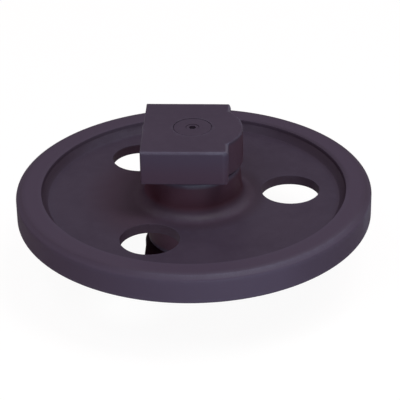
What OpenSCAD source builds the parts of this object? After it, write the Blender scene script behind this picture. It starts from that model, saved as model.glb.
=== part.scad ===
// Front idler group of a small tracked undercarriage, in millimetres.
// +Z runs along the shaft, the wheel's middle plane is z = 0, and the two
// brackets slide along X with their guide faces square to Y.

/* [Wheel] */
// Outer diameter of the tread
wheel_d = 350; // [346:1:356]
// Width of the tread, before its edges are rounded
tread_w = 23.8; // [20:0.2:26]
// Rounding of the tread's two edges
tread_edge_r = 3; // [1:0.1:5]
// Width of the rim
rim_w = 30.6; // [28:0.2:36]
// Diameter where the bevel from the rim's side to the tread begins
rim_bevel_d = 338.4; // [324:0.2:342]
// Rounding at the start of that bevel
rim_bevel_r = 3; // [1:0.5:8]
// Diameter at the inner edge of the rim's side band
rim_inner_d = 300; // [296:1:304]
// Rounding of that inner edge
rim_edge_r = 0.8; // [0.5:0.1:3]
// Height of the steep step at that edge
step_h = 3.5; // [2:0.1:5]
// Draft of the step, in degrees
step_draft = 13; // [5:1:20]
// Diameter at the foot of the slope below the step
slope_foot_d = 287.4; // [280:0.2:292]
// Fillet above and below the slope
slope_fillet_r = 1.5; // [0.5:0.5:4]
// Thickness of the web
web_t = 10.2; // [8:0.2:12]

/* [Web holes] */
// Number of lightening holes
hole_count = 3; // [2:1:3]
// Diameter of a lightening hole
hole_d = 57.5; // [50:0.5:62]
// Diameter of the circle through the holes' centres
hole_circle_d = 192; // [186:1:200]
// Turn of the first hole from +X at rest, in degrees
hole_turn = 6.8; // [0:0.1:60]
// Bevel at each end of a hole
hole_bevel = 0.4; // [0.3:0.1:2]

/* [Hub] */
// Length of the hub along the shaft
hub_len = 81.6; // [78:0.2:82]
// Diameter of the hub at its end faces
hub_end_d = 91.2; // [88:0.2:96]
// Draft of the hub's outside, in degrees
hub_draft = 5; // [2:0.5:6]
// Fillet from the hub to the web
hub_fillet_r = 14; // [10:1:20]
// Rounding of the hub's end edges
hub_edge_r = 2; // [1:0.1:3]
// Diameter of the oil space between the bushes
oil_space_d = 50; // [47:1:54]
// Half length of the oil space
oil_space_h = 4; // [3:0.5:6]

/* [Brackets] */
// Bracket face towards the yoke, from the shaft axis
bracket_rear = 48; // [44:0.5:52]
// Bracket face away from the yoke, from the shaft axis
bracket_nose = 36; // [30:0.5:42]
// Height across the guide faces
guide_h = 105.6; // [100:0.2:110]
// Thickness of a bracket
bracket_t = 35.3; // [33:0.1:36]
// Length over both brackets' outer faces
overall_len = 159; // [157:0.5:160]
// Diameter of the round boss about the shaft
boss_d = 98; // [96:0.5:99]
// Rounding of the guide faces' outer edges
guide_edge_r = 3.2; // [1:0.1:5]
// Rounding of the nose face's outer edge
nose_edge_r = 4.5; // [1:0.5:6]
// Rounding of the other edges
small_edge_r = 1.5; // [0.5:0.1:2.5]
// Rounding of the two upright corners at the nose
nose_corner_r = 5.5; // [3:0.5:8]
// Rounding of the two upright corners at the rear
rear_corner_r = 2; // [1:0.5:4]

/* [Shaft] */
// Diameter of the shaft
shaft_d = 38; // [36:0.5:39]
// Bevel at the shaft's ends
shaft_bevel = 1; // [0.5:0.1:2]
// Diameter of the oil gallery along the axis
gallery_d = 8; // [6:0.5:9]
// Diameter of the filler plug
plug_d = 13.2; // [12:0.2:14]
// Length of the filler plug
plug_len = 10; // [8:0.5:12]
// Width across flats of the plug's socket
plug_socket = 6.5; // [5:0.5:7]

/* [Bushes] */
// Outer diameter of a bush
bush_d = 45; // [44:0.5:46]
// Diameter of a bush's flange
bush_flange_d = 54; // [52:0.5:55]
// Thickness of a bush's flange
bush_flange_t = 3; // [2.5:0.1:3]

/* [Seals] */
// Inner diameter of the metal seal rings
seal_inner_d = 49; // [48.6:0.1:50]
// Outer diameter of a seal ring's sealing face
seal_face_d = 65; // [62:0.5:66]
// Diameter of the seal seat at its mouth
seat_mouth_d = 69; // [68:0.5:70]
// Diameter of the seal seat at its floor
seat_floor_d = 66.4; // [65:0.2:67]
// Depth of a seal seat
seat_depth = 8.5; // [8:0.1:9]
// Radius of a rubber ring's section before it is squeezed
toric_r = 2.6; // [2.3:0.1:2.7]

/* [Locking] */
// Diameter of a lock pin
lock_pin_d = 10; // [8:0.5:11]
// Length of a lock pin
lock_pin_len = 60; // [50:1:62]
// Diameter of the screw that closes a lock pin's hole
lock_screw_d = 12; // [12:0.5:14]
// Length of that screw
lock_screw_len = 9; // [7:0.5:9]

/* [Yoke bolts] */
// Diameter of a tapped hole's wall
yoke_hole_d = 10.2; // [8:0.1:12]
// Distance between a bracket's two tapped holes
yoke_hole_gap = 66; // [60:1:74]
// Depth of a tapped hole
yoke_hole_depth = 24; // [18:1:26]

/* [Hidden] */

$fn = 96;
wheel_r = wheel_d / 2;
rim_inner_r = rim_inner_d / 2;
hole_circle_r = hole_circle_d / 2;
hub_end = hub_len / 2;
hub_end_r = hub_end_d / 2;
bush_r = bush_d / 2;
shaft_r = shaft_d / 2;
shaft_end = overall_len / 2;
bracket_in = shaft_end - bracket_t;      // bracket's inner face
bracket_mid = shaft_end - bracket_t / 2;
seal_plane = (hub_end + bracket_in) / 2; // where the two seal rings meet
seat_floor = hub_end - seat_depth;       // floor of the wheel's seal seat
seal_ring_end = seat_floor + 2;          // a seal ring's inner end
flange_seat_r = bush_flange_d / 2 + 0.2;
face_t = 2.5;                            // thickness of a sealing face's lip
ramp_top_r = 30;
ramp_foot_r = 28.4;
toric_z = seat_floor + 4.7;
oil_film = 0.05;                         // half the gap between two seal faces
thrust_gap = 0.3;                        // end play between bush flange and bracket
run_gap = 0.05;                          // radial clearance of shaft in bush
slip = 0.02;                             // clearance of parts that don't move
collar_r = seal_inner_d / 2 - 1;         // bracket's thrust collar
guard_in_r = 36;                         // dirt guard ring in front of the hub
guard_out_r = 41;
guard_h = 2.2;
groove_z = bracket_in + 11.5;            // shaft's static seal groove
groove_r = shaft_r - 2;
groove_w = 3.4;
pin_z = shaft_end - 13.5;
pin_r = lock_pin_d / 2;
guide_y = guide_h / 2;
screw_head_gap = 0.5;                    // screw and plug lie this far below the surface
screw_seat_y = guide_y - lock_screw_len - screw_head_gap;
screw_socket = 6;
plug_top = shaft_end - 0.3;
primer = [0.25, 0.22, 0.29];
steel = [0.62, 0.62, 0.63];
bronze = [0.72, 0.52, 0.26];
rubber = [0.08, 0.08, 0.09];

// The patch between a corner and the arc of radius r that rounds it. It is
// taken from an outer corner or added to an inner one. The edges leave the
// corner p in the directions a1 and a2.
module corner_patch(p, a1, a2, r) {
  half = abs(a2 - a1) / 2;
  mid = (a1 + a2) / 2;
  towards = [cos(mid), sin(mid)];
  centre = p + r / sin(half) * towards;
  reach = r / tan(half);
  difference() {
    polygon([p - 0.3 * towards, p + reach * [cos(a1), sin(a1)], centre,
      p + reach * [cos(a2), sin(a2)]]);
    translate(centre) circle(r);
  }
}

module both_sides() {
  children();
  mirror([0, 1]) children();
}

// Rectangle with each corner rounded: radii run anticlockwise from the lowest x and y
module rounded_rect(low, high, radii) {
  corners = [low, [high[0], low[1]], high, [low[0], high[1]]];
  difference() {
    translate(low) square(high - low);
    for (i = [0 : 3]) corner_patch(corners[i], 90 * i, 90 * i + 90, radii[i]);
  }
}

// ---- turning body ----

rim_bevel_angle = atan2((tread_w - rim_w) / 2, wheel_r - rim_bevel_d / 2);
web_z = web_t / 2;
step_foot = [rim_inner_r - step_h * tan(step_draft), rim_w / 2 - step_h];
slope_foot = [slope_foot_d / 2, web_z];
slope_angle = atan2(step_foot[1] - slope_foot[1], step_foot[0] - slope_foot[0]);
hub_foot_r = hub_end_r + (hub_end - web_z) * tan(hub_draft);

// What is cut off one side of the blank: the recess and all above the rim and hub
module recess_section() {
  top = hub_end + 1;
  difference() {
    polygon([[hub_end_r - tan(hub_draft), top], [hub_foot_r, web_z], slope_foot, step_foot,
      [rim_inner_r, rim_w / 2], [rim_bevel_d / 2, rim_w / 2], [wheel_r, tread_w / 2],
      [wheel_r + 1, tread_w / 2 + tan(rim_bevel_angle)], [wheel_r + 1, top]]);
    corner_patch([hub_foot_r, web_z], 0, 90 + hub_draft, hub_fillet_r);
    corner_patch(slope_foot, slope_angle, 180, slope_fillet_r);
    corner_patch(step_foot, 90 - step_draft, 180 + slope_angle, slope_fillet_r);
  }
}

module wheel_section() {
  bore = [[oil_space_d / 2, oil_space_h], [bush_r, oil_space_h],
    [bush_r, seat_floor - bush_flange_t], [flange_seat_r, seat_floor - bush_flange_t],
    [flange_seat_r, seat_floor], [seat_floor_d / 2, seat_floor],
    [seat_mouth_d / 2, hub_end], [wheel_r, hub_end]];
  last = len(bore) - 1;
  lower = [for (i = [last : -1 : 0]) [bore[i][0], -bore[i][1]]];
  difference() {
    polygon(concat(bore, lower));
    both_sides() {
      recess_section();
      corner_patch([wheel_r, tread_w / 2], 180 + rim_bevel_angle, 270, tread_edge_r);
      corner_patch([rim_bevel_d / 2, rim_w / 2], 180, 360 + rim_bevel_angle, rim_bevel_r);
      corner_patch([rim_inner_r, rim_w / 2], 270 - step_draft, 360, rim_edge_r);
      corner_patch([hub_end_r, hub_end], 180, 270 + hub_draft, hub_edge_r);
    }
  }
}

module web_hole() {
  cylinder(h = 2 * web_t, d = hole_d, center = true);
  for (side = [0, 1])
    mirror([0, 0, side])
      translate([0, 0, web_z - hole_bevel])
        cylinder(h = 2 * hole_bevel, d1 = hole_d, d2 = hole_d + 4 * hole_bevel);
}

module idler_wheel() {
  color(primer)
    difference() {
      rotate_extrude() wheel_section();
      for (i = [0 : hole_count - 1])
        rotate(hole_turn + 360 * i / hole_count)
          translate([hole_circle_r, 0, 0]) web_hole();
    }
}

module bush() {
  flange_z = seat_floor - bush_flange_t;
  color(bronze)
    difference() {
      union() {
        translate([0, 0, oil_space_h]) cylinder(h = seat_floor - oil_space_h, r = bush_r);
        translate([0, 0, flange_z]) cylinder(h = bush_flange_t, d = bush_flange_d);
      }
      cylinder(h = hub_len, r = shaft_r + run_gap);
    }
}

// Metal seal ring with its sealing face at z = seal_plane
module seal_ring() {
  face_z = seal_plane - oil_film;
  color(steel)
    rotate_extrude()
      polygon([[seal_inner_d / 2, seal_ring_end], [ramp_foot_r, seal_ring_end],
        [ramp_top_r, face_z - face_t], [seal_face_d / 2, face_z - face_t],
        [seal_face_d / 2, face_z], [seal_inner_d / 2, face_z]]);
}

// Rubber ring squeezed between the seal ring's ramp and the seat's cone
module toric() {
  ramp = [ramp_top_r - ramp_foot_r, seal_plane - oil_film - face_t - seal_ring_end];
  seat = [(seat_mouth_d - seat_floor_d) / 2, seat_depth];
  function ramp_at(z) = ramp_foot_r + (z - seal_ring_end) * ramp[0] / ramp[1] + slip;
  function seat_at(z) = seat_floor_d / 2 + (z - seat_floor) * seat[0] / seat[1] - slip;
  low = toric_z - toric_r;
  high = toric_z + toric_r;
  color(rubber)
    rotate_extrude()
      intersection() {
        translate([(ramp_at(toric_z) + seat_at(toric_z)) / 2, toric_z]) circle(toric_r);
        polygon([[ramp_at(low), low], [seat_at(low), low], [seat_at(high), high],
          [ramp_at(high), high]]);
      }
}

// The bracket's ring and rubber face the wheel's across the seal plane
module across_seal_plane() {
  translate([0, 0, 2 * seal_plane]) mirror([0, 0, 1]) children();
}

// ---- standing body ----

module bracket_block() {
  intersection() {
    translate([0, 0, bracket_in])
      linear_extrude(bracket_t)
        rounded_rect([-bracket_rear, -guide_y], [bracket_nose, guide_y],
          [rear_corner_r, nose_corner_r, nose_corner_r, rear_corner_r]);
    rotate([90, 0, 90])
      translate([0, 0, -bracket_rear - 1])
        linear_extrude(bracket_rear + bracket_nose + 2)
          rounded_rect([-guide_y, bracket_in], [guide_y, shaft_end],
            [small_edge_r, small_edge_r, guide_edge_r, guide_edge_r]);
    rotate([90, 0, 0])
      translate([0, 0, -guide_y - 1])
        linear_extrude(guide_h + 2)
          rounded_rect([-bracket_rear, bracket_in], [bracket_nose, shaft_end],
            [small_edge_r, small_edge_r, nose_edge_r, small_edge_r]);
  }
}

module bracket_boss() {
  rotate_extrude()
    difference() {
      translate([0, bracket_in]) square([boss_d / 2, bracket_t]);
      corner_patch([boss_d / 2, shaft_end], 180, 270, small_edge_r);
      corner_patch([boss_d / 2, bracket_in], 90, 180, small_edge_r);
    }
}

module ring(inner_r, outer_r, low, high) {
  translate([0, 0, low])
    difference() {
      cylinder(h = high - low, r = outer_r);
      translate([0, 0, -1]) cylinder(h = high - low + 2, r = inner_r);
    }
}

module seal_seat_in_bracket() {
  rotate_extrude()
    polygon([[collar_r, bracket_in - guard_h - 1], [seat_mouth_d / 2, bracket_in - guard_h - 1],
      [seat_mouth_d / 2, bracket_in], [seat_floor_d / 2, bracket_in + seat_depth],
      [collar_r, bracket_in + seat_depth]]);
}

// Drilled hole along -Y from the guide face at +Y, with a seat for the screw
module lock_pin_hole() {
  translate([shaft_r, screw_seat_y - lock_pin_len, pin_z])
    rotate([-90, 0, 0]) {
      cylinder(h = lock_pin_len + 1, r = pin_r);
      translate([0, 0, lock_pin_len]) cylinder(h = guide_h, d = lock_screw_d);
    }
}

module yoke_holes() {
  for (side = [-1, 1])
    translate([-bracket_rear, side * yoke_hole_gap / 2, bracket_mid])
      rotate([0, 90, 0]) {
        translate([0, 0, -1]) cylinder(h = yoke_hole_depth + 1, d = yoke_hole_d);
        translate([0, 0, yoke_hole_depth]) cylinder(h = yoke_hole_d / 4, d1 = yoke_hole_d, d2 = 1);
      }
}

module bracket() {
  color(primer)
    difference() {
      union() {
        difference() {
          union() {
            bracket_block();
            bracket_boss();
            ring(guard_in_r, guard_out_r, bracket_in - guard_h, bracket_in + 1);
          }
          seal_seat_in_bracket();
        }
        translate([0, 0, seat_floor + thrust_gap])
          cylinder(h = bracket_in + seat_depth + 1 - seat_floor - thrust_gap, r = collar_r);
      }
      cylinder(h = overall_len, r = shaft_r + slip);
      lock_pin_hole();
      yoke_holes();
    }
}

module shaft_section() {
  half = [[shaft_r - 1, oil_space_h], [shaft_r, oil_space_h],
    [shaft_r, groove_z - groove_w / 2], [groove_r, groove_z - groove_w / 2],
    [groove_r, groove_z + groove_w / 2], [shaft_r, groove_z + groove_w / 2],
    [shaft_r, shaft_end - shaft_bevel], [shaft_r - shaft_bevel, shaft_end]];
  last = len(half) - 1;
  lower = [for (i = [0 : last]) [half[last - i][0], -half[last - i][1]]];
  polygon(concat([[0, -shaft_end]], lower, half, [[0, shaft_end]]));
}

module shaft() {
  color(steel)
    difference() {
      rotate_extrude() shaft_section();
      for (side = [-1, 1])
        translate([shaft_r, 0, side * pin_z])
          rotate([90, 0, 0]) cylinder(h = shaft_d, r = pin_r + slip, center = true);
      cylinder(h = overall_len, d = gallery_d);
      translate([0, 0, plug_top - plug_len]) cylinder(h = overall_len, r = plug_d / 2 + slip);
      rotate([0, 90, 0]) cylinder(h = overall_len, d = gallery_d - 2, center = true);
      translate([0, 0, -shaft_end - 1]) cylinder(h = 4, d1 = 8, d2 = 3);
    }
}

// Static seal in the shaft's groove, squeezed by the bracket's bore
module shaft_o_ring() {
  ring_r = groove_w / 2 - 0.3;
  color(rubber)
    rotate_extrude()
      intersection() {
        translate([shaft_r - 1, groove_z]) circle(ring_r);
        translate([groove_r, groove_z - groove_w]) square([shaft_r - groove_r, 2 * groove_w]);
      }
}

module lock_pin() {
  color(steel)
    translate([shaft_r, screw_seat_y - lock_pin_len, pin_z])
      rotate([-90, 0, 0]) {
        cylinder(h = 1, r1 = pin_r - 1, r2 = pin_r);
        translate([0, 0, 1]) cylinder(h = lock_pin_len - 2, r = pin_r);
        translate([0, 0, lock_pin_len - 1]) cylinder(h = 1, r1 = pin_r, r2 = pin_r - 1);
      }
}

module hex_socket(across, deep) {
  translate([0, 0, -deep]) cylinder(h = deep + 1, d = across / cos(30), $fn = 6);
}

module lock_screw() {
  color(steel)
    translate([shaft_r, screw_seat_y, pin_z])
      rotate([-90, 0, 0])
        difference() {
          cylinder(h = lock_screw_len, d = lock_screw_d - 2 * slip);
          translate([0, 0, lock_screw_len]) hex_socket(screw_socket, 5);
        }
}

module oil_plug() {
  color(steel)
    translate([0, 0, plug_top - plug_len])
      difference() {
        union() {
          cylinder(h = plug_len - 1, d = plug_d);
          translate([0, 0, plug_len - 1]) cylinder(h = 1, d1 = plug_d, d2 = plug_d - 1);
        }
        translate([0, 0, plug_len]) hex_socket(plug_socket, 6);
      }
}

module below() {
  mirror([0, 0, 1]) children();
}

idler_wheel();
bush();  // bush_upper
below() bush();  // bush_lower
seal_ring();  // seal_ring_wheel_upper
below() seal_ring();  // seal_ring_wheel_lower
toric();  // toric_wheel_upper
below() toric();  // toric_wheel_lower
shaft();
bracket();  // bracket_upper
below() bracket();  // bracket_lower
across_seal_plane() seal_ring();  // seal_ring_bracket_upper
below() across_seal_plane() seal_ring();  // seal_ring_bracket_lower
across_seal_plane() toric();  // toric_bracket_upper
below() across_seal_plane() toric();  // toric_bracket_lower
shaft_o_ring();  // shaft_o_ring_upper
below() shaft_o_ring();  // shaft_o_ring_lower
lock_pin();  // lock_pin_upper
below() lock_pin();  // lock_pin_lower
lock_screw();  // lock_screw_upper
below() lock_screw();  // lock_screw_lower
oil_plug();
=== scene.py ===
import math

import bmesh
import bpy
from mathutils import Matrix, Vector, noise
from mathutils.bvhtree import BVHTree


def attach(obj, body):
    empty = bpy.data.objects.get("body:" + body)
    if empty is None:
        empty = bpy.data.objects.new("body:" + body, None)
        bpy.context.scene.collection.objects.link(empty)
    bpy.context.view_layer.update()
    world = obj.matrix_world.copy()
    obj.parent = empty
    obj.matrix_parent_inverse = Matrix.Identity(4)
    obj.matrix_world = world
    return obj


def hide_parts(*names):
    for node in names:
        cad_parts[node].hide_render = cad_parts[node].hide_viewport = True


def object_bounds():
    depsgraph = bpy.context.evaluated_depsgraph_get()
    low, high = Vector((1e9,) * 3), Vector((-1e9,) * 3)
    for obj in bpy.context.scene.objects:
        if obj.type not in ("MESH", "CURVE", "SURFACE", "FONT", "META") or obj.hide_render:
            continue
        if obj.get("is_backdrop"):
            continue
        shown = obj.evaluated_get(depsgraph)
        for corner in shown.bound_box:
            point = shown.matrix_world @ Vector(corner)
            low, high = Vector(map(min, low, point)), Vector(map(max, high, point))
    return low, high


# The looks of a front idler group: a cast wheel with three web holes between two slide brackets, all in one
# satin violet-black primer. Lengths are in metres and the frame is the CAD's: +Z runs along the shaft.

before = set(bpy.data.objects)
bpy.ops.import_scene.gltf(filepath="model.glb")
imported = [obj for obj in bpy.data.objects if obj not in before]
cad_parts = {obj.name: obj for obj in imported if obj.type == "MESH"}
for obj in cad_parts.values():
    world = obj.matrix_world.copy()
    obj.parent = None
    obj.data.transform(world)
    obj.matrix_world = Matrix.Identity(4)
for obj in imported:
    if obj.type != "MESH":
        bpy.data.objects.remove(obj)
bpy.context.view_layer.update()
mm = 0.001
print("frame loaded:", len(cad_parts), "CAD nodes")

# the photograph's points, in its own 400 x 400 pixels
photo = {"width": 400, "height": 400}

imagePoints = {
    "objectLeft": (15.6, None),
    "objectRight": (371.5, None),
    "objectTop": (None, 103.8),
    "objectBottom": (None, 303.1),
    "bracketBackLeft": (147.0, 103.9),
    "bracketFrontLeft": (139.4, 151.2),
    "bracketFrontRight": (226.6, 152.5),
    "bracketFootLeft": (140.6, 184.2),
    "bossRight": (242.2, None),
    "shaftMiddle": (192.1, 126.3),
    "shaftLeft": (172.6, None),
    "shaftRight": (211.6, None),
    "plugMiddle": (191.9, 126.4),
    "rightHoleLeft": (261.5, None),
    "rightHoleRight": (319.0, None),
    "frontHoleLeft": (119.5, None),
    "recessLeft": (42.0, None),
}

viewpoint = {
    "azimuth": 3.1,        # degrees to the right of the brackets' guide faces
    "elevation": 29.10,
    "distance": 1.8734,
    "lens": 170.3,
    "sensor": 36.0,
    "pan": 0.185,          # aim off the shaft's middle, in degrees
    "tilt": -0.044,
    "roll": -1.130,
    "shiftX": 0.0,
    "shiftY": 0.0,
    "near": 0.05,
    "far": 50.0,
}


def makeCamera(values):
    turn, rise = math.radians(values["azimuth"]), math.radians(values["elevation"])
    pan, tilt, roll = (math.radians(values[key]) for key in ("pan", "tilt", "roll"))
    back = Vector((math.cos(rise) * math.sin(turn), -math.cos(rise) * math.cos(turn), math.sin(rise)))
    ahead = -back
    right = ahead.cross(Vector((0, 0, 1))).normalized()
    up = right.cross(ahead)
    ahead, right = (ahead * math.cos(pan) + right * math.sin(pan),
                    right * math.cos(pan) - ahead * math.sin(pan))
    ahead, up = (ahead * math.cos(tilt) + up * math.sin(tilt),
                 up * math.cos(tilt) - ahead * math.sin(tilt))
    right, up = (right * math.cos(roll) + up * math.sin(roll),
                 up * math.cos(roll) - right * math.sin(roll))
    data = bpy.data.cameras.new("photoCamera")
    data.lens, data.sensor_width, data.sensor_fit = values["lens"], values["sensor"], "AUTO"
    data.shift_x, data.shift_y = values["shiftX"], values["shiftY"]
    data.clip_start, data.clip_end = values["near"], values["far"]
    made = bpy.data.objects.new("photoCamera", data)
    bpy.context.scene.collection.objects.link(made)
    axes = Matrix((right, up, -ahead)).transposed().to_4x4()
    made.matrix_world = Matrix.Translation(back * values["distance"]) @ axes
    bpy.context.scene.camera = made
    bpy.context.view_layer.update()
    return made


camera = makeCamera(viewpoint)
longSide = max(photo["width"], photo["height"])


def pictureOf(point):
    seen = camera.matrix_world.inverted() @ Vector(point)
    scale = viewpoint["lens"] / viewpoint["sensor"] * longSide / -seen.z
    return (photo["width"] / 2 - viewpoint["shiftX"] * longSide + seen.x * scale,
            photo["height"] / 2 + viewpoint["shiftY"] * longSide - seen.y * scale)


def rayThrough(x, y):
    across = Vector((x - photo["width"] / 2 + viewpoint["shiftX"] * longSide,
                     photo["height"] / 2 - y + viewpoint["shiftY"] * longSide,
                     -longSide * viewpoint["lens"] / viewpoint["sensor"]))
    return camera.matrix_world.translation, (camera.matrix_world.to_3x3() @ across).normalized()


def treeOf(pieces):
    points, faces = [], []
    for piece in pieces:
        start = len(points)
        points += [piece.matrix_world @ vert.co for vert in piece.data.vertices]
        faces += [tuple(start + at for at in face.vertices) for face in piece.data.polygons]
    return BVHTree.FromPolygons(points, faces), points


def placeInView(pointName, carriers):      # where a photograph's point lies on the finished carriers
    tree, points = treeOf(carriers)
    eye, ray = rayThrough(*imagePoints[pointName])
    hit = tree.ray_cast(eye, ray)[0]
    if hit is None:
        nearest = min(points, key=lambda place: (place - eye).cross(ray).length)
        hit = tree.find_nearest(eye + ray * (nearest - eye).dot(ray))[0]
    return hit


print("camera set")


class Value:  # a socket that takes part in Python sums
    def __init__(self, graph, socket):
        self.graph, self.socket = graph, socket

    def math(self, operation, *others):
        return self.graph.maths(operation, self, *others)

    def __add__(self, other): return self.graph.maths("ADD", self, other)
    def __radd__(self, other): return self.graph.maths("ADD", other, self)
    def __sub__(self, other): return self.graph.maths("SUBTRACT", self, other)
    def __rsub__(self, other): return self.graph.maths("SUBTRACT", other, self)
    def __mul__(self, other): return self.graph.maths("MULTIPLY", self, other)
    def __rmul__(self, other): return self.graph.maths("MULTIPLY", other, self)


class Graph:
    def __init__(self, tree):
        self.tree = tree
        tree.nodes.clear()

    def plug(self, socket, given):
        if isinstance(given, Value):
            self.tree.links.new(given.socket, socket)
        else:
            socket.default_value = given

    def node(self, kind, settings=None, sockets=None, output=0):
        made = self.tree.nodes.new(kind)
        for key, setting in (settings or {}).items():
            setattr(made, key, setting)
        for key, given in (sockets or {}).items():
            self.plug(made.inputs[key], given)
        return Value(self, made.outputs[output]) if len(made.outputs) else made

    def maths(self, operation, *terms):
        return self.node("ShaderNodeMath", {"operation": operation}, dict(enumerate(terms)))

    def mixed(self, share, first, second):
        return self.node("ShaderNodeMix", {"data_type": "RGBA", "clamp_factor": True},
                         {0: share, 6: first, 7: second}, 2)

    def place(self):
        return self.node("ShaderNodeTexCoord", output=3)

    def grain(self, where, scale, detail=2.0, roughness=0.5):
        return self.node("ShaderNodeTexNoise", {"noise_dimensions": "3D"},
                         {"Vector": where, "Scale": scale, "Detail": detail, "Roughness": roughness})

    def attribute(self, name):
        return self.node("ShaderNodeAttribute", {"attribute_type": "GEOMETRY", "attribute_name": name},
                         output=2)

    def between(self, value, low, high, toLow=0.0, toHigh=1.0):
        return self.node("ShaderNodeMapRange", {"interpolation_type": "SMOOTHSTEP", "clamp": True},
                         {"Value": value, "From Min": low, "From Max": high,
                          "To Min": toLow, "To Max": toHigh})


def linear(red, green, blue):
    tones = [c / 255 for c in (red, green, blue)]
    return tuple(c / 12.92 if c <= 0.04045 else ((c + 0.055) / 1.055) ** 2.4 for c in tones) + (1.0,)


# rings are the turning marks, along the shaft
shaftSteel = {"tone": linear(150, 150, 152), "dull": linear(126, 124, 126), "rough": 0.32, "rings": 9000.0}

metals = {
    "pinSteel": {"tone": linear(160, 160, 160), "rough": 0.30, "metallic": 1.0, "rings": 0.0},
    "bushBronze": {"tone": linear(196, 150, 84), "rough": 0.36, "metallic": 1.0, "rings": 7000.0},
    "sealIron": {"tone": linear(128, 128, 130), "rough": 0.28, "metallic": 1.0, "rings": 8000.0},
    "sealRubber": {"tone": linear(30, 30, 32), "rough": 0.70, "metallic": 0.0, "rings": 0.0},
}

primer = {
    "dark": linear(67, 60, 76),
    "main": linear(72, 65, 81),
    "light": linear(77, 70, 87),
    "turned": linear(78, 70, 88),      # where the casting was machined under the paint
    "paintedShade": linear(84, 61, 75),   # painted shade: a reddish tone where the shadows fall
    # painted shade in the recess, round the hub, on the boss side and on parts of the rim; also dirt in the
    # paint line's joints
    "dirtAndShade": linear(46, 36, 46),
    # worn edges, and painted highlights and a glint, in a paler bluish tone
    "wornAndLit": linear(96, 96, 114),
    "roughness": 0.42,
    "satin": 0.12,                     # weight of the paint's gloss, and its roughness
    "satinRoughness": 0.42,
    "burnish": 0.20,                   # more gloss where it is rubbed
    "castGrain": 620.0,                # per metre, as are the next four
    "orangePeel": 240.0,
    "mottle": 95.0,
    "broad": 17.0,
    "speck": 2600.0,
    "castDepth": 0.10 * mm,
    "wearAndHighlight": 0.85,
    "bareFade": 0.4 * mm,              # where the paint ends on the shaft
}


def groundSteel(g, where, along):
    steel = shaftSteel
    fine = g.grain(where, 1500.0, 2.0, 0.6)
    turned = (along * steel["rings"]).math("SINE") * 0.3
    bump = g.node("ShaderNodeBump", {}, {"Strength": 0.3, "Distance": 0.02 * mm, "Height": fine + turned})
    tone = g.mixed(g.between(g.grain(where, 60.0), 0.35, 0.7), steel["tone"], steel["dull"])
    return g.node("ShaderNodeBsdfPrincipled", {}, {
        "Base Color": tone, "Roughness": steel["rough"] + (fine - 0.5) * 0.2, "Metallic": 1.0,
        "Normal": bump})


def primerMaterial(name, values, grainShare=1.0, worked=0.0, bareInside=None):
    made = bpy.data.materials.new(name)
    made.use_nodes = True
    g = Graph(made.node_tree)
    where = g.place()
    broad = g.grain(where, values["broad"], 3.0, 0.55)
    mottle = g.grain(where, values["mottle"], 3.0, 0.6)
    grain = g.grain(where, values["castGrain"], 3.0, 0.6)
    peel = g.grain(where, values["orangePeel"], 1.0, 0.4)
    speck = g.grain(where, values["speck"], 1.0, 0.5)
    tone = g.mixed(g.between(broad, 0.30, 0.70), values["dark"], values["main"])
    tone = g.mixed(g.between(mottle, 0.35, 0.75) * 0.35, tone, values["light"])
    worked = g.attribute("workedFace") + worked
    tone = g.mixed(worked, tone, values["turned"])
    # painted shade: mixes in the reddish shadow tone
    tone = g.mixed(g.attribute("paintedShade"), tone, values["paintedShade"])
    patches = g.between(mottle * 0.6 + grain * 0.4, 0.2, 0.6, 0.75, 1.0)
    # painted shade, and dirt in the joints, in the darker tone
    tone = g.mixed(g.attribute("dirtAndShade") * patches, tone, values["dirtAndShade"])
    chips = g.between(grain * 0.5 + mottle * 0.5, 0.38, 0.62)
    # worn edges and painted highlights take the paler tone
    wornAndLit = g.attribute("edgeWearAndHighlight") * (0.55 + 0.45 * chips) * values["wearAndHighlight"]
    tone = g.mixed(wornAndLit, tone, values["wornAndLit"])
    tone = g.mixed(g.between(speck, 0.62, 0.80) * 0.12, tone, values["wornAndLit"])
    height = (grain * 0.55 + mottle * 0.8) * (1 - 0.6 * worked) * grainShare + peel * 0.45
    bump = g.node("ShaderNodeBump", {}, {"Strength": 0.55, "Distance": values["castDepth"], "Height": height})
    rough = values["roughness"] + (mottle - 0.5) * 0.16 + (speck - 0.5) * 0.10 - wornAndLit * 0.12
    shader = g.node("ShaderNodeBsdfPrincipled", {}, {
        "Base Color": tone, "Roughness": rough, "Specular IOR Level": 0.0,
        "Coat Weight": values["satin"] + g.attribute("burnish") * values["burnish"],
        "Coat Roughness": values["satinRoughness"], "Normal": bump})
    if bareInside:                         # bright steel where the brackets and the hub cover it
        along = g.node("ShaderNodeSeparateXYZ", sockets={0: where}, output=2)
        painted = g.between(along.math("ABSOLUTE"), bareInside - values["bareFade"],
                            bareInside + values["bareFade"])
        shader = g.node("ShaderNodeMixShader", {}, {0: painted, 1: groundSteel(g, where, along), 2: shader})
    g.node("ShaderNodeOutputMaterial", {}, {"Surface": shader})
    return made


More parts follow.
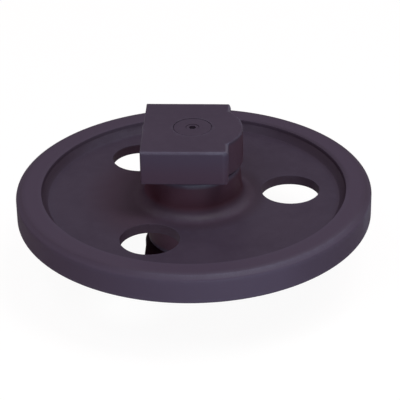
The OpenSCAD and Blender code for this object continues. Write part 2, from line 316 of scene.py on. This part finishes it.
def metalMaterial(name, values):
    made = bpy.data.materials.new(name)
    made.use_nodes = True
    g = Graph(made.node_tree)
    where = g.place()
    broad = g.grain(where, 60.0, 3.0, 0.5)
    fine = g.grain(where, 1500.0, 2.0, 0.6)
    dull = tuple(c * 0.72 for c in values["tone"][:3]) + (1.0,)
    tone = g.mixed(g.between(broad, 0.35, 0.70), values["tone"], dull)
    rough = values["rough"] + (fine - 0.5) * 0.22 + (broad - 0.5) * 0.12
    height = fine
    if values["rings"]:
        along = g.node("ShaderNodeSeparateXYZ", sockets={0: where}, output=2)
        height = height + (along * values["rings"]).math("SINE") * 0.2
    bump = g.node("ShaderNodeBump", {}, {"Strength": 0.35, "Distance": 0.03 * mm, "Height": height})
    shader = g.node("ShaderNodeBsdfPrincipled", {}, {
        "Base Color": tone, "Roughness": rough, "Metallic": values["metallic"], "Normal": bump})
    g.node("ShaderNodeOutputMaterial", {}, {"Surface": shader})
    return made


wheelPrimer = primerMaterial("wheelPrimer", primer)
bracketPrimer = primerMaterial("bracketPrimer", primer, grainShare=0.6)
jointPrimer = primerMaterial("jointPrimer", primer, grainShare=0.3, worked=0.3)
shaftPrimer = primerMaterial("shaftPrimer", primer, grainShare=0.3, worked=0.3, bareInside=78.6 * mm)
finish = {name: metalMaterial(name, values) for name, values in metals.items()}
print("finishes made")

nodeFinish = {
    "idler_wheel": wheelPrimer, "bracket": bracketPrimer, "shaft": shaftPrimer,
    "oil_plug": jointPrimer, "bush": finish["bushBronze"], "seal_ring": finish["sealIron"],
    "toric": finish["sealRubber"], "shaft_o_ring": finish["sealRubber"],
    "lock_pin": finish["pinSteel"], "lock_screw": jointPrimer,
}

for name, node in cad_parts.items():
    kind = max((key for key in nodeFinish if name.startswith(key)), key=len)
    node.data.materials.clear()
    node.data.materials.append(nodeFinish[kind])
print("CAD nodes dressed")


def roundedPath(corners, sweep=7.0):
    # corners are (x, y, radius, wear); an arc replaces each corner that has a radius
    out = []
    for index, (x, y, radius, wearAndHighlight) in enumerate(corners):
        here = Vector((x, y))
        if index in (0, len(corners) - 1) or not radius:
            out.append((x, y, wearAndHighlight))
            continue
        before = (Vector(corners[index - 1][:2]) - here).normalized()
        after = (Vector(corners[index + 1][:2]) - here).normalized()
        opening = before.angle(after)
        reach = radius / math.tan(opening / 2)
        centre = here + (before + after).normalized() * (radius / math.sin(opening / 2))
        first, last = here + before * reach - centre, here + after * reach - centre
        turn = math.pi - opening
        steps = max(3, math.ceil(math.degrees(turn) / sweep))
        for step in range(steps + 1):
            share = step / steps
            arm = (first * math.sin((1 - share) * turn) + last * math.sin(share * turn)) / math.sin(turn)
            out.append((*(centre + arm), wearAndHighlight))
    return out


def splitLong(path, longest):
    out = [path[0]]
    for (x0, y0, w0), (x1, y1, w1) in zip(path, path[1:]):
        parts = max(1, math.ceil(math.hypot(x1 - x0, y1 - y0) / longest))
        for part in range(1, parts + 1):
            share = part / parts
            wornAndLit = w1 if part == parts else 0.0
            out.append((x0 + (x1 - x0) * share, y0 + (y1 - y0) * share, wornAndLit))
    return out


def paintSurface(mesh, wearAndHighlight, lookAt):
    looks = [lookAt(vert.co / mm) for vert in mesh.vertices]
    wornAndLit = [max(share, look.get("wearAndHighlight", 0.0)) for share, look in zip(wearAndHighlight, looks)]
    mesh.attributes.new("edgeWearAndHighlight", "FLOAT", "POINT").data.foreach_set("value", wornAndLit)
    for name in ("workedFace", "paintedShade", "dirtAndShade", "burnish"):
        shares = [look.get(name, 0.0) for look in looks]
        mesh.attributes.new(name, "FLOAT", "POINT").data.foreach_set("value", shares)


def ramp(value, low, high):
    share = min(1.0, max(0.0, (value - low) / (high - low)))
    return share * share * (3 - 2 * share)


def pieceFrom(mesh, material, sharp):
    mesh.materials.append(material)
    mesh.shade_smooth()
    mesh.set_sharp_from_angle(angle=math.radians(sharp))
    made = bpy.data.objects.new(mesh.name, mesh)
    bpy.context.scene.collection.objects.link(made)
    return made


def newPiece(name, points, faces, material, sharp=40):
    mesh = bpy.data.meshes.new(name)
    mesh.from_pydata([tuple(c * mm for c in point) for point in points], [], faces)
    return pieceFrom(mesh, material, sharp)


wheel = {                  # millimetres
    "radius": 175.0,
    "treadHalf": 11.9,
    "treadEdge": 3.0,
    "rimHalf": 15.3,
    "bevelStart": 169.2,
    "bevelRound": 3.0,
    "rimInner": 150.0,
    "rimInnerEdge": 0.8,
    "stepHeight": 3.5,
    "stepDraft": 13.0,
    "slopeFoot": 143.7,
    "slopeFillet": 1.5,
    "webHalf": 5.1,
    "hubEnd": 40.8,
    "hubRadius": 45.6,
    "hubDraft": 5.0,
    "hubFillet": 14.0,
    "hubEdge": 2.0,
    "holeRadius": 28.75,
    "holeCircle": 96.0,
    "holeTurn": 6.8,
    "holes": 3,
    "lip": 0.45,
    "around": 360,         # divisions round the wheel
    "longest": 4.5,        # longest face across the section
    "holeMargin": 5.2,     # the web is rebuilt this far out round each hole,
    "patchHalf": 21,       # and this many degrees either side
    "castRise": 0.16,      # unevenness of the cast faces
    "inside": (            # bush bore, its flange and the seal's ramp
        (25.0, 0.0), (25.0, 4.0), (22.5, 4.0), (22.5, 29.3), (27.2, 29.3), (27.2, 32.3), (33.2, 32.3)),
    "sealMouth": 34.5,
    "hubEndFrom": 28.0,    # height from which a face counts as the hub's end
    "neckReach": 118.0,    # the hub's own tones end here
}

wheelSides = {             # degrees round the wheel where each painted shade, highlight and glint is strongest
    "dirtAndShade": 15.0,
    "dullMargin": 35.0,
    "paleSlope": 118.0,
    "hiddenHole": 127.0,
    "lee": 188.0,
    "litHub": 282.0,
    "litBevel": 296.0,
    "dullTread": 319.0,
    "dullNeck": 335.0,
    "brightTread": 349.0,
}


def wheelHalfSection(w):
    hubFoot = w["hubRadius"] + (w["hubEnd"] - w["webHalf"]) * math.tan(math.radians(w["hubDraft"]))
    stepFoot = w["rimInner"] - w["stepHeight"] * math.tan(math.radians(w["stepDraft"]))
    corners = [(r, z, 0, 0) for r, z in w["inside"]] + [
        (w["sealMouth"], w["hubEnd"], 0.6, 0.3),
        (w["hubRadius"], w["hubEnd"], w["hubEdge"], 0.4),
        (hubFoot, w["webHalf"], w["hubFillet"], 0),
        (w["slopeFoot"], w["webHalf"], w["slopeFillet"], 0),
        (stepFoot, w["rimHalf"] - w["stepHeight"], w["slopeFillet"], 0),
        (w["rimInner"], w["rimHalf"], w["rimInnerEdge"], 0.12),
        (w["bevelStart"], w["rimHalf"], w["bevelRound"], 0),
        (w["radius"], w["treadHalf"], w["treadEdge"], 0.1),
        (w["radius"], 0.0, 0, 0),
    ]
    return splitLong(roundedPath(corners), w["longest"])


def makeWheel(w, material):
    half = wheelHalfSection(w)
    loop = half + [(r, -z, wornAndLit) for r, z, wornAndLit in reversed(half[1:-1])]
    rows, turns = len(loop), w["around"]
    points, wearAndHighlight, faces = [], [], []
    for r, z, wornAndLit in loop:
        for turn in range(turns):
            angle = math.radians(w["holeTurn"] + 360 * turn / turns)
            points.append((r * math.cos(angle), r * math.sin(angle), z))
            wearAndHighlight.append(wornAndLit)

    spread = w["patchHalf"] * turns // 360
    nearHole = w["holeRadius"] + w["holeMargin"]
    web = [row for row in range(len(half)) if abs(half[row][1] - w["webHalf"]) < 0.001
           and abs(half[row][0] - w["holeCircle"]) < nearHole]
    first, last = web[0], web[-1]
    patched = set()
    for hole in range(w["holes"]):
        middle = hole * turns // w["holes"]
        for row in range(first, last):
            for turn in range(middle - spread, middle + spread):
                patched.add((row, turn % turns))
                patched.add((rows - row - 1, turn % turns))
    for row in range(rows):
        for turn in range(turns):
            if (row, turn) not in patched:
                nextRow, nextTurn = (row + 1) % rows, (turn + 1) % turns
                faces.append((row * turns + turn, row * turns + nextTurn,
                              nextRow * turns + nextTurn, nextRow * turns + turn))

    lip, wallHalf = w["lip"], w["webHalf"]
    levels = [(step / 6, 0.0, 0.0, 0.0) for step in range(1, 6)]       # share inwards, lip turn, height, wear
    levels += [(1.0, 0.0, 0.0, 0.1)] + [(1.0, 22.5 * step, 0.0, 0.2) for step in range(1, 5)]
    for hole in range(w["holes"]):
        middle = hole * turns // w["holes"]
        angle = math.radians(w["holeTurn"] + 360 * hole / w["holes"])
        centre = Vector((math.cos(angle), math.sin(angle))) * w["holeCircle"]
        ring = [(row, middle - spread) for row in range(first, last)]
        ring += [(last, turn) for turn in range(middle - spread, middle + spread)]
        ring += [(row, middle + spread) for row in range(last, first, -1)]
        ring += [(first, turn) for turn in range(middle + spread, middle - spread, -1)]
        count = len(ring)
        upper = [row * turns + turn % turns for row, turn in ring]
        lower = [(rows - row) * turns + turn % turns for row, turn in ring]
        edge = [Vector(points[at][:2]) for at in upper]
        arms = [(place - centre).normalized() for place in edge]
        mouth = w["holeRadius"] + lip
        rings = [upper]
        heights = [0.55, 0.18, -0.18, -0.55]

        def addRing(places, height, wornAndLit):
            start = len(points)
            points.extend((place.x, place.y, height) for place in places)
            wearAndHighlight.extend([wornAndLit] * count)
            rings.append(list(range(start, start + count)))

        def addLevel(level, side):
            share, turned, drop, wornAndLit = level
            sweep = math.radians(turned)
            reach = mouth - lip * math.sin(sweep)
            addRing([place.lerp(centre + arm * reach, share) for place, arm in zip(edge, arms)],
                    side * (wallHalf - lip * (1 - math.cos(sweep))), wornAndLit)

        for level in levels:
            addLevel(level, 1)
        for height in heights:
            addRing([centre + arm * w["holeRadius"] for arm in arms], height * wallHalf, 0.0)
        for level in reversed(levels):
            addLevel(level, -1)
        rings.append(lower)
        for outer, inner in zip(rings, rings[1:]):
            for at in range(count):
                faces.append((outer[at], outer[(at + 1) % count], inner[(at + 1) % count], inner[at]))

    piece = newPiece("idlerWheelCasting", points, faces, material)
    paintSurface(piece.data, wearAndHighlight, lambda at: wheelLook(at, w))
    unevenCasting(piece, w["castRise"] * mm, lambda at: wheelRoughness(at, w))
    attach(piece, "wheel")
    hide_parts("idler_wheel")
    return piece


def wheelRoughness(at, w):                 # machined faces keep their shape
    reach = math.hypot(at.x, at.y) / mm
    if reach < w["hubRadius"] - 1 and abs(at.z / mm) > w["hubEndFrom"] or reach < w["sealMouth"] + 0.5:
        return 0.0
    return 0.3 if reach > w["rimInner"] - 1 else 1.0


def facing(angle, side, low, high):        # 1 on that side of the wheel, fading to 0
    return ramp(math.cos(angle - math.radians(wheelSides[side])), low, high)


def rimLook(reach, angle, w):
    # painted highlight along the bevel's front and a painted glint on the tread's right; painted shade on the
    # rest of the bevel, in a margin inside the rim at the back right and on a patch of tread at the front
    # right
    bevel = ramp(reach, w["bevelStart"] - 2.0, w["bevelStart"])
    bevel *= 1 - ramp(reach, w["radius"] - 2.5, w["radius"] - 0.5)
    litFront = facing(angle, "litBevel", 0.55, 1.0)
    tread = ramp(reach, w["radius"] - 1.6, w["radius"] - 0.2)
    bright = tread * facing(angle, "brightTread", 0.985, 0.998)
    margin = 0.6 * facing(angle, "dullMargin", 0.7, 0.97)
    margin *= 1 - ramp(reach, w["rimInner"], w["rimInner"] + 4)
    dull = 0.2 * tread * facing(angle, "dullTread", 0.94, 1.0)
    return {"workedFace": 1.0, "burnish": bevel * 0.55 * litFront,
            "wearAndHighlight": max(bevel * 0.55 * litFront, 0.9 * bright),
            "dirtAndShade": max(bevel * 0.18 * (1 - litFront), dull, margin)}


def hubEndLook(reach, angle, w):
    # painted highlight on the front of the hub end's edge
    edge = ramp(reach, w["hubRadius"] - 3, w["hubRadius"] - 1) * facing(angle, "litHub", 0.88, 0.97)
    return {"workedFace": 1.0, "burnish": edge, "wearAndHighlight": edge}


def holeWallLook(angle):
    # painted shade: a reddish tone on the hole walls, darker on the back left hole; painted light on the
    # other holes' walls
    hidden = facing(angle, "hiddenHole", 0.5, 0.9)
    return {"paintedShade": 0.3 + 0.2 * hidden, "dirtAndShade": 0.15 * hidden, "wearAndHighlight": 0.26 * (1 - hidden)}


def neckLook(reach, height, angle, w):     # hub neck, its fillet and the web round it
    # painted shade: a reddish neck, the web to the left of the hub, the neck's right side and a ring beyond
    # the fillet; a painted highlight on the fillet's front foot
    neck = ramp(height, 9.0, 17.0)
    foot = ramp(reach, 49.5, 52.5) * (1 - ramp(reach, 55.0, 60.0)) * 0.7
    foot *= facing(angle, "litHub", 0.2, 0.8)
    lee = facing(angle, "lee", 0.2, 0.9) * (1 - ramp(reach, 75, w["neckReach"])) * (1 - neck)
    dull = 0.3 * facing(angle, "dullNeck", 0.6, 0.95) * ramp(height, 7.0, 14.0)
    ring = 0.25 * ramp(reach, 59.0, 62.5) * (1 - ramp(reach, 66.0, 76.0))
    return {"paintedShade": max(0.9 * neck, 0.35 * lee, 0.2 * (1 - ramp(reach, 60, 75))),
            "burnish": foot, "wearAndHighlight": 0.3 * foot, "dirtAndShade": max(dull, 0.2 * lee, ring)}


def webLook(reach, height, angle, w):      # outer web, its slope and the recess's step
    # painted shade in the recess corner on the right, on the left slope and along the step's left; a painted
    # lighter slope at the back left
    step = w["rimHalf"] - w["stepHeight"]
    corner = ramp(reach, w["slopeFoot"] - 5, w["rimInner"] - 1.2) * facing(angle, "dirtAndShade", 0.6, 1.0)
    slope = ramp(reach, w["slopeFoot"] - 0.5, w["slopeFoot"] + 2.0) * facing(angle, "lee", 0.5, 0.95)
    line = ramp(reach, w["rimInner"] - 3.0, w["rimInner"] - 1.2) * facing(angle, "lee", 0.3, 0.8)
    shadeAndDirt = max(0.6 * corner, 0.45 * slope, 0.35 * line) * (1 - 0.4 * ramp(height, step + 0.3, step + 1.8))
    pale = ramp(reach, w["slopeFoot"] - 4, w["slopeFoot"]) * facing(angle, "paleSlope", 0.8, 0.99)
    worked = ramp(height, step + 0.6, step + 2.8) if reach > w["rimInner"] - 1.2 else 0
    return {"paintedShade": 0.25 * shadeAndDirt, "dirtAndShade": shadeAndDirt, "wearAndHighlight": 0.3 * pale, "workedFace": worked}


def wheelLook(at, w):
    reach, height, angle = math.hypot(at.x, at.y), abs(at.z), math.atan2(at.y, at.x)
    if reach > w["rimInner"] + 0.3:
        return rimLook(reach, angle, w)
    if reach < w["hubRadius"] + 0.2 and height > w["hubEndFrom"]:
        return hubEndLook(reach, angle, w)
    if height < w["webHalf"] - 0.3:
        return holeWallLook(angle)
    if reach < w["neckReach"]:
        return neckLook(reach, height, angle, w)
    return webLook(reach, height, angle, w)


def unevenCasting(piece, rise, share, seed=0.0):
    verts = piece.data.vertices
    moved = []
    for vert in verts:
        at = vert.co
        swell = noise.noise(at * 24 + Vector((seed, seed, 0)))
        swell += 0.45 * noise.noise(at * 75 + Vector((seed, 3, 1)))
        moved.append(at + vert.normal * (rise * share(at) * swell))
    for vert, at in zip(verts, moved):
        vert.co = at


idlerWheel = makeWheel(wheel, wheelPrimer)
print("wheel made:", len(idlerWheel.data.polygons), "faces")

bracket = {                # millimetres
    "inner": 44.2,
    "outer": 79.5,
    "bossRadius": 49.0,
    "workedRadius": 41.5,  # inside this radius all is machined
    "bossFrom": 36.3,      # the boss stands out past this x,
    "bossHalf": 50.0,      # within this y
    "cell": 3.1,           # grid that carries the cast unevenness
    "castRise": 0.13,
    "tap": {"radius": 5.1, "root": 6.05, "side": 33.0, "rear": -48.0, "depth": 24.0, "pitch": 1.75,
            "crest": 5.14, "flank": 0.84, "around": 40},
}
weld = 2e-6                # metres; points closer than this are one


def sliceEvenly(bm, axis, pitch):
    low = min(vert.co[axis] for vert in bm.verts)
    high = max(vert.co[axis] for vert in bm.verts)
    cuts = int((high - low) / pitch)
    normal = [0, 0, 0]
    normal[axis] = 1
    for cut in range(1, cuts + 1):
        place = [0, 0, 0]
        place[axis] = low + (high - low) * (cut - 0.37) / (cuts + 0.26)
        bmesh.ops.bisect_plane(bm, geom=bm.verts[:] + bm.edges[:] + bm.faces[:], dist=weld,
                               plane_co=place, plane_no=normal)


def convexWear(bm):                        # worn where edges stand out, from 4 to 14 degrees
    bm.normal_update()
    wearAndHighlight = {}
    for vert in bm.verts:
        turns = [edge.calc_face_angle(0.0) for edge in vert.link_edges
                 if len(edge.link_faces) == 2 and edge.is_convex]
        wearAndHighlight[vert] = min(1.0, max(0.0, math.degrees(max(turns, default=0.0)) - 4.0) / 10.0)
    soft = {}
    for vert in bm.verts:
        near = [wearAndHighlight[edge.other_vert(vert)] for edge in vert.link_edges]
        soft[vert] = 0.6 * wearAndHighlight[vert] + 0.4 * sum(near) / max(1, len(near))
    return [0.6 * soft[vert] for vert in bm.verts]


def bracketRoughness(at, b):
    if math.hypot(at.x, at.y) / mm < b["workedRadius"] or at.x / mm < b["tap"]["rear"] + 0.3:
        return 0.0
    boss = math.hypot(at.x, at.y) / mm > b["bossRadius"] - 0.6 and at.x > 0
    return 1.0 if boss or abs(at.z) / mm < b["inner"] + 0.4 else 0.35


def bracketLook(at, b):
    # painted shade: a reddish tone on the inner faces, the boss side and the lower part of the faces, the
    # boss side also darker; worn top edges with a painted highlight, strongest towards the nose
    height = abs(at.z)
    if height > b["outer"] - 0.4:
        return {"workedFace": 0.3}
    if height < b["inner"] + 0.5:
        return {"paintedShade": 1.0}
    if at.x > b["bossFrom"] and abs(at.y) < b["bossHalf"]:
        return {"paintedShade": 0.6 * ramp(-height, -b["outer"] + 1, -b["outer"] + 4), "dirtAndShade": 0.12}
    edge = ramp(height, b["outer"] - 3.4, b["outer"] - 2.0)
    low = 1 - ramp(height, b["inner"] + 4, b["outer"] - 4)
    return {"workedFace": 1.0, "paintedShade": 0.45 * low, "burnish": 0.7 * edge,
            "wearAndHighlight": edge * (0.55 + 0.45 * ramp(at.x, 0, 25))}


def makeBracket(nodeName, pieceName, b, material, seed):
    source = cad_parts[nodeName]
    side = 1 if nodeName.endswith("upper") else -1
    bm = bmesh.new()
    bm.from_mesh(source.data)
    bmesh.ops.remove_doubles(bm, verts=bm.verts, dist=weld)
    bmesh.ops.dissolve_limit(bm, angle_limit=math.radians(0.4), verts=bm.verts, edges=bm.edges)
    tap = b["tap"]
    height = side * (b["inner"] + b["outer"]) / 2
    for vert in bm.verts:                  # opens the tapped holes to their thread's root
        x, y, z = (c / mm for c in vert.co)
        if x < tap["rear"] + tap["depth"] + 4:
            for hole in (-tap["side"], tap["side"]):
                off = Vector((y - hole, z - height))
                if 0.01 < off.length < tap["radius"] + 0.15:
                    off *= tap["root"] / tap["radius"]
                    vert.co.y, vert.co.z = (hole + off.x) * mm, (height + off.y) * mm
    for axis in range(3):
        sliceEvenly(bm, axis, b["cell"] * mm)
    wearAndHighlight = convexWear(bm)
    mesh = bpy.data.meshes.new(pieceName)
    bm.to_mesh(mesh)
    bm.free()
    paintSurface(mesh, wearAndHighlight, lambda at: bracketLook(at, b))
    piece = pieceFrom(mesh, material, 32)
    unevenCasting(piece, b["castRise"] * mm, lambda at: bracketRoughness(at, b), seed)
    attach(piece, "axle")
    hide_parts(nodeName)
    return piece


def makeThread(name, tap, height, side, material):
    rowsPerTurn = 8
    rows = int(tap["depth"] / tap["pitch"] * rowsPerTurn)
    around = tap["around"]
    points, faces = [], []

    def addLoop(x, radiusOf):
        for turn in range(around):
            angle = math.tau * turn / around
            reach = radiusOf(angle)
            points.append((x, side + reach * math.cos(angle), height + reach * math.sin(angle)))

    def flank(x):
        def reachAt(angle):
            turned = (x / tap["pitch"] + angle / math.tau) % 1
            return tap["crest"] + tap["flank"] * (1 - abs(2 * turned - 1))
        return reachAt

    outer = tap["root"] + 0.06
    addLoop(tap["rear"] + 0.3, lambda angle: outer)
    for row in range(rows + 1):
        depth = 0.3 + (tap["depth"] - 0.3) * row / rows
        addLoop(tap["rear"] + depth, flank(depth) if row else lambda angle: outer - 0.1)
    addLoop(tap["rear"] + tap["depth"], lambda angle: outer)
    loops = rows + 3
    for loop in range(loops):
        for turn in range(around):
            here, there, beside = loop * around, (loop + 1) % loops * around, (turn + 1) % around
            faces.append((here + turn, here + beside, there + beside, there + turn))
    piece = newPiece(name, points, faces, material, sharp=25)
    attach(piece, "axle")
    return piece


for end, side in (("Upper", 1), ("Lower", -1)):
    made = makeBracket("bracket_" + end.lower(), "slideBracket" + end, bracket, bracketPrimer, 4.0 + side)
    for label, across in (("Left", 1), ("Right", -1)):
        middle = side * (bracket["inner"] + bracket["outer"]) / 2
        makeThread("yokeThread" + end + label, bracket["tap"], middle, across * bracket["tap"]["side"],
                   bracketPrimer)
    print("bracket made:", made.name, len(made.data.polygons), "faces")


paintLine = {              # the paint over the joints at the shaft's ends, in millimetres
    "joints": (
        {"radius": 19.0, "halfWidth": 1.25, "dip": 0.34, "dirtAndShade": 0.9, "point": "shaftMiddle", "rise": 0.3,
         "pieces": (("shaftPaintLineUpper", 1), ("shaftPaintLineLower", -1))},
        {"radius": 6.6, "halfWidth": 0.8, "dip": 0.20, "dirtAndShade": 0.2, "point": "plugMiddle", "rise": 0.1,
         "pieces": (("plugPaintLine", 1),)},
    ),
    "carriers": ("shaft", "oil_plug"),
    "stand": 0.035,
    "thick": 0.5,
    "around": 96,
}


def makePaintLine(name, values, joint, height, side, material):
    radius, halfWidth, dip = joint["radius"], joint["halfWidth"], joint["dip"]
    around, count = values["around"], 15
    points, faces, dirtAndShade = [], [], []
    for turn in range(around):
        angle = math.tau * turn / around
        depth = 0.2 + 0.8 * abs(math.cos(angle))       # the joint is deepest to the left and right
        crossing = []
        for step in range(13):
            share = -1 + step / 6
            groove = (0.5 + 0.5 * math.cos(math.pi * share)) ** 1.6
            rise = values["stand"] * (1 - abs(share) ** 3) - dip * depth * groove - 0.09 * abs(share) ** 12
            crossing.append((radius + share * halfWidth, height + rise, groove * abs(math.cos(angle))))
        foot = height - values["thick"]
        crossing += [(radius + halfWidth, foot, 0), (radius - halfWidth, foot, 0)]
        points += [(r * math.cos(angle), r * math.sin(angle), side * z) for r, z, shadeAndDirt in crossing]
        dirtAndShade += [shadeAndDirt * joint["dirtAndShade"] for r, z, shadeAndDirt in crossing]
    for turn in range(around):
        here, there = turn * count, (turn + 1) % around * count
        for at in range(count):
            nxt = (at + 1) % count
            face = (here + at, there + at, there + nxt, here + nxt)
            faces.append(face if side < 0 else face[::-1])
    piece = newPiece(name, points, faces, material, sharp=50)
    piece.data.attributes.new("dirtAndShade", "FLOAT", "POINT").data.foreach_set("value", dirtAndShade)
    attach(piece, "axle")
    return piece


for joint in paintLine["joints"]:
    carriers = [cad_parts[name] for name in paintLine["carriers"]]
    height = abs(placeInView(joint["point"], carriers).z / mm) + joint["rise"]
    for pieceName, side in joint["pieces"]:
        makePaintLine(pieceName, paintLine, joint, height, side, jointPrimer)
print("paint lines made")

stageLook = {
    "floorHalf": 6.0,
    "floorTone": (0.80, 0.80, 0.80, 1.0),
    "floorSeen": 0.945,    # what the camera sees of the floor's white before its shadow
    "shadowShare": 0.10,
    "skyTone": (1.0, 0.25, 0.28, 1.0),
    "skyLevel": 0.17,
}


def seenDirectly(g):                       # 1 for camera, glossy and transmission rays
    rays = [g.node("ShaderNodeLightPath", output=index) for index in (0, 3, 6)]
    return (rays[0] + rays[1] + rays[2]).math("MINIMUM", 1.0)


def makeFloor(values):
    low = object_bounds()[0].z
    half = values["floorHalf"]
    mesh = bpy.data.meshes.new("studioFloor")
    corners = [(-half, -half, low), (half, -half, low), (half, half, low), (-half, half, low)]
    mesh.from_pydata(corners, [], [(0, 1, 2, 3)])
    floor = bpy.data.objects.new("studioFloor", mesh)
    bpy.context.scene.collection.objects.link(floor)
    made = bpy.data.materials.new("studioFloor")
    made.use_nodes = True
    g = Graph(made.node_tree)
    seen = seenDirectly(g)
    plain = g.node("ShaderNodeBsdfDiffuse", {}, {"Color": values["floorTone"]})
    faint = g.node("ShaderNodeBsdfDiffuse", {}, {"Color": (values["shadowShare"],) * 3 + (1.0,)})
    glow = g.node("ShaderNodeEmission", {}, {"Color": (1, 1, 1, 1), "Strength": values["floorSeen"]})
    white = g.node("ShaderNodeAddShader", {}, {0: faint, 1: glow})
    shown = g.node("ShaderNodeMixShader", {}, {0: seen, 1: plain, 2: white})
    g.node("ShaderNodeOutputMaterial", {}, {"Surface": shown})
    mesh.materials.append(made)
    floor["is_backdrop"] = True


def makeWorld(values):
    world = bpy.data.worlds.new("studioWorld")
    world.use_nodes = True
    bpy.context.scene.world = world
    g = Graph(world.node_tree)
    seen = seenDirectly(g)
    sky = g.node("ShaderNodeBackground", {}, {"Color": values["skyTone"], "Strength": values["skyLevel"]})
    white = g.node("ShaderNodeBackground", {}, {"Color": (1, 1, 1, 1), "Strength": 1.0})
    shown = g.node("ShaderNodeMixShader", {}, {0: seen, 1: sky, 2: white})
    g.node("ShaderNodeOutputWorld", {}, {"Surface": shown})


lamps = {                  # azimuth 0 is the front, 90 the right; degrees, metres and watts
    "keyHigh": {"azimuth": 60, "elevation": 75, "reach": 2.4, "size": (0.75, 0.75), "power": 13.2,
                "tone": (0.95, 1.0, 0.99)},
    "keyRight": {"azimuth": 60, "elevation": 58, "reach": 2.4, "size": (0.75, 0.75), "power": 10.1,
                 "tone": (0.97, 0.97, 0.95)},
    "frontLeft": {"azimuth": 330, "elevation": 58, "reach": 2.4, "size": (0.75, 0.75), "power": 10.3,
                  "tone": (0.86, 0.96, 1.0)},
    "sideLeft": {"azimuth": 315, "elevation": 35, "reach": 2.4, "size": (0.75, 0.75), "power": 1.9,
                 "tone": (1.0, 0.92, 0.92)},
    "backRight": {"azimuth": 145, "elevation": 42, "reach": 2.4, "size": (0.75, 0.75), "power": 3.0,
                  "tone": (0.95, 0.98, 1.0)},
    "backLeft": {"azimuth": 222, "elevation": 42, "reach": 2.4, "size": (0.75, 0.75), "power": 3.0,
                 "tone": (0.95, 0.98, 1.0)},
    "lowFront": {"azimuth": 15, "elevation": 0, "reach": 0.7, "drop": -0.03, "size": (0.35, 0.08),
                 "power": 0.61, "tone": (0.74, 0.92, 1.0)},
    "lowRight": {"azimuth": 25, "elevation": 0, "reach": 0.7, "drop": -0.03, "size": (0.35, 0.08),
                 "power": 0.60, "tone": (0.74, 0.92, 1.0)},
}


def makeLamp(name, values):
    data = bpy.data.lights.new(name, "AREA")
    data.shape = "RECTANGLE"
    data.size, data.size_y = values["size"]
    data.energy, data.color = values["power"], values["tone"]
    turn, rise = math.radians(values["azimuth"]), math.radians(values["elevation"])
    arm = Vector((math.cos(rise) * math.sin(turn), -math.cos(rise) * math.cos(turn), math.sin(rise)))
    made = bpy.data.objects.new(name, data)
    bpy.context.scene.collection.objects.link(made)
    made.location = arm * values["reach"] + Vector((0, 0, values.get("drop", 0.0)))
    made.rotation_euler = (-arm).to_track_quat("-Z", "Y").to_euler()
    made.visible_camera = False
    return made


makeFloor(stageLook)
makeWorld(stageLook)
for lampName, lampValues in lamps.items():
    makeLamp(lampName, lampValues)
bpy.context.scene.view_settings.view_transform = "Standard"
print("studio set")


def reaches(tree, eye, place):
    length = tree.ray_cast(eye, (place - eye).normalized())[3] or 0
    return length > (place - eye).length - 0.6 * mm


def visiblePlaces():
    pieces = [thing for thing in bpy.context.scene.objects
              if thing.type == "MESH" and not thing.hide_render and thing.name != "studioFloor"]
    tree = treeOf(pieces)[0]
    eye = camera.matrix_world.translation
    shown = {}
    for piece in pieces:
        places = [piece.matrix_world @ vert.co for vert in piece.data.vertices]
        shown[piece.name] = [place for place in places if reaches(tree, eye, place)]
    return shown


def holePlaces(places, index):
    angle = math.radians(wheel["holeTurn"] + index * 360 / wheel["holes"])
    middle = Vector((math.cos(angle), math.sin(angle))) * wheel["holeCircle"] * mm
    mouth = wheel["holeRadius"] + wheel["lip"] + 0.3
    return [at for at in places if (at.xy - middle).length < mouth * mm and at.z > 3 * mm]


def measurePoints():                       # where each of the photograph's points shows in the model
    shown = visiblePlaces()
    casting, block = shown["idlerWheelCasting"], shown["slideBracketUpper"]
    everything = [place for places in shown.values() for place in places]

    def nearest(x, y, z):
        return [min(block, key=lambda place: (place - Vector((x, y, z)) * mm).length)]

    step = [at for at in casting if abs(at.xy.length / mm - wheel["rimInner"]) < 1.2 and at.z > 14 * mm]
    sets = {
        "objectLeft": (everything, min, None), "objectRight": (everything, max, None),
        "objectTop": (everything, None, min), "objectBottom": (everything, None, max),
        "bracketBackLeft": (nearest(-47.5, 52.3, 79.5), min, min),
        "bracketFrontLeft": (nearest(-47.5, -52.3, 79.5), min, min),
        "bracketFrontRight": (nearest(35.5, -52.3, 79.5), min, min),
        "bracketFootLeft": (nearest(-47.5, -52.8, 45), min, min),
        "bossRight": (block, max, None),
        "shaftLeft": (shown["shaftPaintLineUpper"], min, None),
        "shaftRight": (shown["shaftPaintLineUpper"], max, None),
        "rightHoleLeft": (holePlaces(casting, 0), min, None),
        "rightHoleRight": (holePlaces(casting, 0), max, None),
        "frontHoleLeft": (holePlaces(casting, 2), min, None),
        "recessLeft": (step, min, None),
    }
    seen = {}
    for name, (places, chooseX, chooseY) in sets.items():
        xs, ys = zip(*(pictureOf(place) for place in places))
        seen[name] = (chooseX(xs) if chooseX else None, chooseY(ys) if chooseY else None)
    for name, piece in (("shaftMiddle", "shaftPaintLineUpper"), ("plugMiddle", "plugPaintLine")):
        xs, ys = zip(*(pictureOf(place) for place in shown[piece]))
        seen[name] = ((min(xs) + max(xs)) / 2, (min(ys) + max(ys)) / 2)
    rows = {}
    for name, (x, y) in imagePoints.items():
        showsX, showsY = seen[name]
        rows[name] = {"point": [x, y], "shows": [None if x is None else round(showsX, 2),
                                                 None if y is None else round(showsY, 2)],
                      "off": [None if x is None else round(showsX - x, 2),
                              None if y is None else round(showsY - y, 2)]}
    return rows


measurePoints()
print("points measured")
